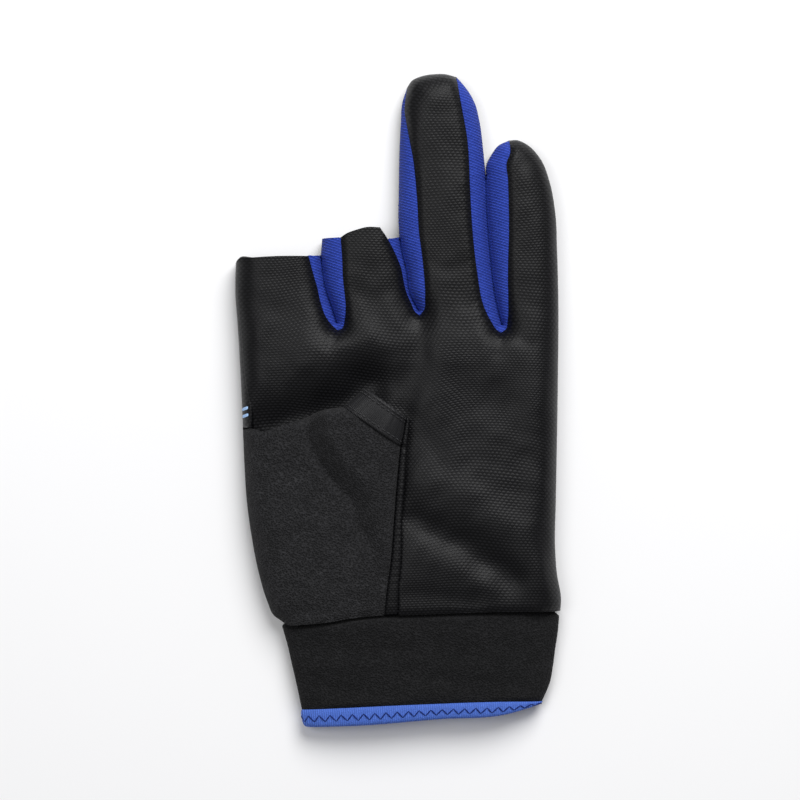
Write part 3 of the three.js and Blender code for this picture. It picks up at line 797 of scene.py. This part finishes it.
def fourchette(name, node_name, gap, *chains):
    """A knit band between two fingers, folded along the gap."""
    piece = to_mesh(name, *plan_mesh(closed(*chains), band_height, FINE_GRID, valley=T[gap]))
    return finish_piece(piece, BLUE_KNIT, [node_name], SHEET)


def fourchettes():
    fourchette("band_index_middle", "fourchette_index_middle", "index gap", T["index seam"],
               T["index band end"], T["middle side"], T["middle band end"], back("middle left seam"))
    fourchette("band_middle_ring", "fourchette_middle_ring", "middle gap", T["middle right seam"],
               T["middle outer end"], T["ring left side"], back("ring left seam"))
    fourchette("band_ring_little", "fourchette_ring_little", "ring gap", T["ring right seam"],
               T["ring right side"], T["little left side"], back("little seam"))


def back_panel():
    """The underside, and the sliver of it that comes up round the index finger's side."""
    outline = closed(T["left side"], T["index end"], T["index band end"], T["middle side"],
                     T["middle band end"], T["middle end"], T["middle corner"], T["middle outer end"],
                     T["ring left side"], T["ring tip"], T["ring right side"], T["little left side"],
                     T["right side"], T["cuff seam"])
    side = T["left side"]
    sliver = closed(side[side[:, 1] > T["root edge"][0, 1]], back("leather left"))
    parts = merged(plan_mesh(outline, underside, 1.5, upward=False), plan_mesh(sliver, edge_height, 0.6))
    piece = to_mesh("back_panel_leather", *parts)
    return finish_piece(piece, LEATHER, ["back_panel"], SHEET)


def printed_bars():
    """Two small slanted bars printed on the back panel, where it comes round the index finger's side."""
    half_width = 1.0
    half_height = 0.5
    slant = 0.35
    parts = []
    for place in BARS:
        turn = np.linspace(0, 2 * math.pi, 28, endpoint=False)
        across = power(np.cos(turn), 0.5) * half_width
        up = power(np.sin(turn), 0.5) * half_height
        outline = np.array(to_mm(place)) + np.column_stack([across, up + across * slant])
        parts.append(plan_mesh(outline, lambda xy: edge_height(xy) + 0.16, 0.4))
    piece = to_mesh("side_print", *merged(*parts))
    return finish_piece(piece, PALE_BLUE_PRINT, (), PRINT)


# Thumb


def thumb_back():
    side = T["left side"]
    side = side[side[:, 1] < T["root edge"][0, 1]]
    seam = T["thumb seam"]
    seam = seam[seam[:, 1] < T["hem lower"][-1, 1]]
    cuff_edge = T["cuff seam"]
    cuff_edge = cuff_edge[cuff_edge[:, 0] < T["thumb seam"][0, 0] - 0.3]
    outline = closed(side, T["root edge"], T["hem lower"], seam[::-1], cuff_edge)
    piece = to_mesh("thumb_neoprene", *plan_mesh(outline, thumb_height, 0.8))
    return finish_piece(piece, NEOPRENE_CLOTH, ["thumb_back"], NEOPRENE)


def roll_points(inner, outer, start, end, lift):
    """From the thumb's seam at height start, over the roll and down to height end."""
    points = []
    for j in range(ROLL_TURNS + 1):
        turn = math.pi * j / ROLL_TURNS
        xy = inner + (outer - inner) * math.sin(turn) ** 0.8
        rise = lift * math.sin(min(turn * 2, math.pi))
        points.append((*xy, end + (start - end) * (1 + math.cos(turn)) / 2 + rise))
    return points


def tuck_points(inner, far, height):
    """From there back below the thumb, clear of its neoprene."""
    points = []
    for j in range(1, TUCK_STEPS + 1):
        xy = inner + (far - inner) * j / TUCK_STEPS
        roof = thumb_height(xy[None, :])[0] - NEOPRENE - LEATHER_GAP
        points.append((*xy, min(height + 0.05 * j, roof)))
    return points


def thumb_palm():
    """The leather of the thumb: a roll beside its seam that turns under and back below the thumb."""
    share = np.linspace(0, 1, ROLL_ROWS)
    inner = at_shares(T["thumb seam"], share)
    outer = at_shares(T["thumb roll"], share)
    base = np.array(to_mm(THUMB_LEATHER_BASE))
    mouth = np.array(to_mm(THUMB_LEATHER_MOUTH))
    start = thumb_height(inner) - 0.1
    end = np.minimum(palm_height(outer) + 0.5, start - 1.0)
    points = []
    for i in range(ROLL_ROWS):
        ripple = ROLL_RIPPLE * math.sin(2 * math.pi * i * 0.7 / PUCKER_PITCH)
        points.extend(roll_points(inner[i], outer[i], start[i], end[i], ROLL_LIFT + ripple))
        points.extend(tuck_points(inner[i], base + (mouth - base) * share[i], end[i]))
    piece = to_mesh("thumb_leather", points, grid_faces(ROLL_ROWS, ROLL_TURNS + TUCK_STEPS + 1, False))
    return finish_piece(piece, LEATHER, ["thumb_palm"], SHEET * 0.8)


def hem_point(level, turn, inset):
    """A place on the thumb's hem: a share of the way to the mouth, a way round, and how far in."""
    lower = T["hem lower"]
    upper = T["hem upper"]
    left = lower[0] + (upper[0] - lower[0]) * level
    right = lower[-1] + (upper[-1] - lower[-1]) * level
    width = np.hypot(*(right - left))
    across = 0.5 + power(math.cos(turn), HEM_SIDES) * (0.5 - inset / width)
    xy = left + (right - left) * across
    middle = THUMB_MOUTH_HEIGHT + HEM_LIFT - HEM_HALF_DEPTH
    middle = middle - 0.9 * (1 - smooth(across / 0.4)) - 0.5 * smooth((across - 0.7) / 0.3)
    return (*xy, middle + power(math.sin(turn), HEM_TOP) * (HEM_HALF_DEPTH - inset))


def thumb_hem():
    """The tape folded over the thumb's mouth; its profile is (level, inset), with dents at the stitches."""
    profile = [(-0.03, 0.9), (-0.02, 0.3), (0.02, 0.0), (0.08, -0.05), (0.14, 0.12), (0.2, -0.05),
               (0.4, -0.15), (0.6, -0.12), (0.76, -0.02), (0.82, 0.12), (0.88, -0.02), (0.95, 0.0),
               (1.0, 0.25), (1.02, 0.65), (1.0, 1.1), (0.9, 1.35), (0.5, 1.4), (-0.1, 1.45)]
    steps = 96
    points = []
    for level, inset in profile:
        for j in range(steps):
            turn = 2 * math.pi * j / steps
            wave = 0.05 * math.sin(turn * 17) + 0.04 * math.sin(turn * 29 + level * 5)
            points.append(hem_point(level, turn, inset + wave))
    faces = [tuple(reversed(f)) for f in grid_faces(len(profile), steps, True)]
    piece = to_mesh("thumb_hem_tape", points, faces)
    rounder(piece)
    return finish_piece(piece, HEM_CLOTH, ["thumb_hem"])


# Stitches


def stitch(start, end, radius, bow):
    """One stitch: a short thread that dips in at both ends."""
    start = Vector(start)
    end = Vector(end)
    along = (end - start).normalized()
    side = along.cross(Vector((0, 0, 1))).normalized()
    up = side.cross(along)
    corners = 6
    sizes = (0.35, 0.85, 1.0, 0.85, 0.35)
    points = []
    for i, size in enumerate(sizes):
        share = i / (len(sizes) - 1)
        middle = start.lerp(end, share) + up * bow * math.sin(math.pi * share)
        for j in range(corners):
            turn = 2 * math.pi * j / corners
            points.append(tuple(middle + (side * math.cos(turn) + up * math.sin(turn)) * radius * size))
    faces = grid_faces(len(sizes), corners, True)
    faces.append(tuple(reversed(range(corners))))
    faces.append(tuple(range(len(points) - corners, len(points))))
    return points, faces


def stitch_row(line, pitch, length, radius, bow=0.1):
    """Stitches along a line of points in space."""
    line = np.array(line)
    along = distances(line)
    result = []
    for at in np.arange(0.3, along[-1] - length, pitch):
        ends = [[np.interp(a, along, line[:, k]) for k in range(3)] for a in (at, at + length)]
        result.append(stitch(ends[0], ends[1], radius, bow))
    return result


def hem_stitches():
    """Two rows by the mouth and one by the lower edge, over the top of the hem."""
    rows = []
    for level in (0.14, 0.82, 0.93):
        line = [hem_point(level, math.pi * (0.03 + 0.94 * j / 60), -0.16) for j in range(61)]
        rows.extend(stitch_row(line, pitch=1.9, length=1.5, radius=0.17))
    piece = to_mesh("hem_stitches", *merged(*rows))
    return finish_piece(piece, GREY_THREAD)


# Cuff


def tube_point(upper, lower, left, right, depth, share, turn, inset):
    """A place on a flat tube between two lines: a share of the way down, a way round, and how far in."""
    across = 0.5 + power(math.cos(turn), TUBE_SIDES) * 0.5
    y_upper = np.interp(across, np.linspace(0, 1, len(upper)), upper[:, 1])
    y_lower = np.interp(across, np.linspace(0, 1, len(lower)), lower[:, 1])
    narrower = 1 - 2 * inset / (right - left)
    x = left + (right - left) * (0.5 + (across - 0.5) * narrower)
    rise = math.sin(turn)
    middle = TUBE_MIDDLE * depth
    if rise >= 0:
        z = middle + power(rise, TUBE_TOP) * (depth - middle - inset)
    else:
        z = middle + power(rise, TUBE_BOTTOM) * (middle - CUFF_CLEARANCE - inset)
    return x, y_upper + (y_lower - y_upper) * share, z


def cuff_point(share, turn, inset):
    left = at_shares(T["cuff left"], [share])[0, 0]
    right = at_shares(T["cuff right"], [share])[0, 0]
    depth = CUFF_SEAM_DEPTH + (CUFF_MOUTH_DEPTH - CUFF_SEAM_DEPTH) * share
    return tube_point(back("cuff seam"), T["binding top"], left, right, depth, share, turn, inset)


def binding_point(share, turn, inset):
    upper = T["binding top"]
    lower = T["binding end"]
    left = upper[0, 0] + (lower[0, 0] - upper[0, 0]) * share
    right = upper[-1, 0] + (lower[-1, 0] - upper[-1, 0]) * share
    return tube_point(upper, lower, left, right, CUFF_MOUTH_DEPTH, share, turn, inset)


def cuff_lump(x, y):
    """Soft creases that run along the cuff, and smaller lumps on them."""
    crease = noise.noise(Vector((x / 22, y / 5.5, 3.3)))
    lump = noise.noise(Vector((x / 9, y / 8, 7.7)))
    return crease * 0.55 + lump * 0.3


def cuff():
    """The neoprene cuff, from inside the hand's lower edge to the binding, which pinches it."""
    points = []
    for i in range(CUFF_ROWS):
        share = i / (CUFF_ROWS - 1)
        tuck = CUFF_TUCK * (1 - smooth(share / 0.06))
        overlap = CUFF_OVERLAP if i == 0 else 0
        for j in range(CUFF_STEPS):
            turn = 2 * math.pi * j / CUFF_STEPS
            x, y, z = cuff_point(share, turn, tuck)
            upper = max(0.0, math.sin(turn)) ** 0.5
            z += upper * cuff_lump(x, y) * smooth(share / 0.1) * smooth((1 - share) / 0.05)
            z -= upper * 0.5 * math.exp(-((1 - share) / 0.03) ** 2)
            points.append((x, y + overlap, z))
    piece = to_mesh("cuff_neoprene", points, grid_faces(CUFF_ROWS, CUFF_STEPS, True))
    return finish_piece(piece, CUFF_CLOTH, ["cuff"], NEOPRENE)


def cuff_binding():
    """The tape folded over the cuff's mouth; its profile is (share, inset), with a dent at the zigzag."""
    profile = [(0.0, 0.55), (-0.03, 0.1), (0.05, -0.3), (0.25, -0.55), (0.45, -0.5), (0.7, -0.6),
               (0.9, -0.35), (0.98, 0.1), (1.02, 0.9), (0.98, 1.8), (0.85, 2.3), (0.4, 2.35),
               (-0.2, 2.3)]
    points = []
    for share, inset in profile:
        for j in range(CUFF_STEPS):
            turn = 2 * math.pi * j / CUFF_STEPS
            pull = 0.1 * math.sin(turn * 47) * max(0.0, 1 - abs(share - 0.5) * 2)
            points.append(binding_point(share, turn, inset + pull))
    piece = to_mesh("cuff_binding_tape", points, grid_faces(len(profile), CUFF_STEPS, True))
    rounder(piece)
    return finish_piece(piece, BINDING_CLOTH, ["cuff_binding"])


def binding_zigzag():
    """The zigzag stitch along the middle of the binding, on its upper and lower sides."""
    turns = np.linspace(0, 2 * math.pi, 721)
    ring = np.array([binding_point(0.5, turn, 0.0) for turn in turns])
    along = distances(ring)
    zigs = 2 * round(along[-1] / ZIGZAG_PITCH)
    points = []
    for i in range(zigs + 1):
        turn = np.interp(along[-1] * i / zigs, along, turns)
        points.append(binding_point(0.34 if i % 2 else 0.7, turn, -0.62))
    threads = [stitch(a, b, radius=0.2, bow=0.12) for a, b in zip(points[:-1], points[1:])]
    piece = to_mesh("binding_zigzag_stitch", *merged(*threads))
    return finish_piece(piece, DARK_BLUE_THREAD)


# Room, in metres


def floor():
    half = 2500  # mm
    points = [(-half, -half, 0), (half, -half, 0), (half, half, 0), (-half, half, 0)]
    piece = to_mesh("floor", points, [(0, 1, 2, 3)])
    piece.data.materials.append(floor_white())


def light(name, place, size, energy):
    lamp = bpy.data.lights.new(name, "AREA")
    lamp.shape = "DISK"
    lamp.size = size
    lamp.energy = energy
    made = bpy.data.objects.new(name, lamp)
    made.location = place
    made.rotation_euler = (-Vector(place)).to_track_quat("-Z", "Y").to_euler()
    bpy.context.scene.collection.objects.link(made)


def studio():
    world = bpy.data.worlds.new("studio")
    world.use_nodes = True
    background = world.node_tree.nodes["Background"]
    background.inputs["Color"].default_value = (1, 1, 1, 1)
    background.inputs["Strength"].default_value = 0.22
    bpy.context.scene.world = world
    bpy.context.scene.view_settings.view_transform = "Standard"
    light("key", place=(0.3, 0.8, 0.9), size=0.9, energy=17)
    light("fill", place=(-0.5, 0.1, 1.2), size=0.7, energy=4.5)


def camera():
    """Straight above the glove, with a long lens, as the photograph was taken."""
    height = 1.3
    frame_width = 0.256
    frame_height = 0.012  # where the frame is as wide as that
    sensor = 36
    lens = bpy.data.cameras.new("camera")
    lens.sensor_width = sensor
    lens.lens = sensor * (height - frame_height) / frame_width
    lens.clip_end = 20
    made = bpy.data.objects.new("camera", lens)
    made.location = (0, 0, height)
    bpy.context.scene.collection.objects.link(made)
    bpy.context.scene.camera = made


camera()
studio()
floor()
palm_panel()
fourchettes()
back_panel()
printed_bars()
thumb_back()
thumb_palm()
thumb_hem()
hem_stitches()
cuff()
cuff_binding()
binding_zigzag()
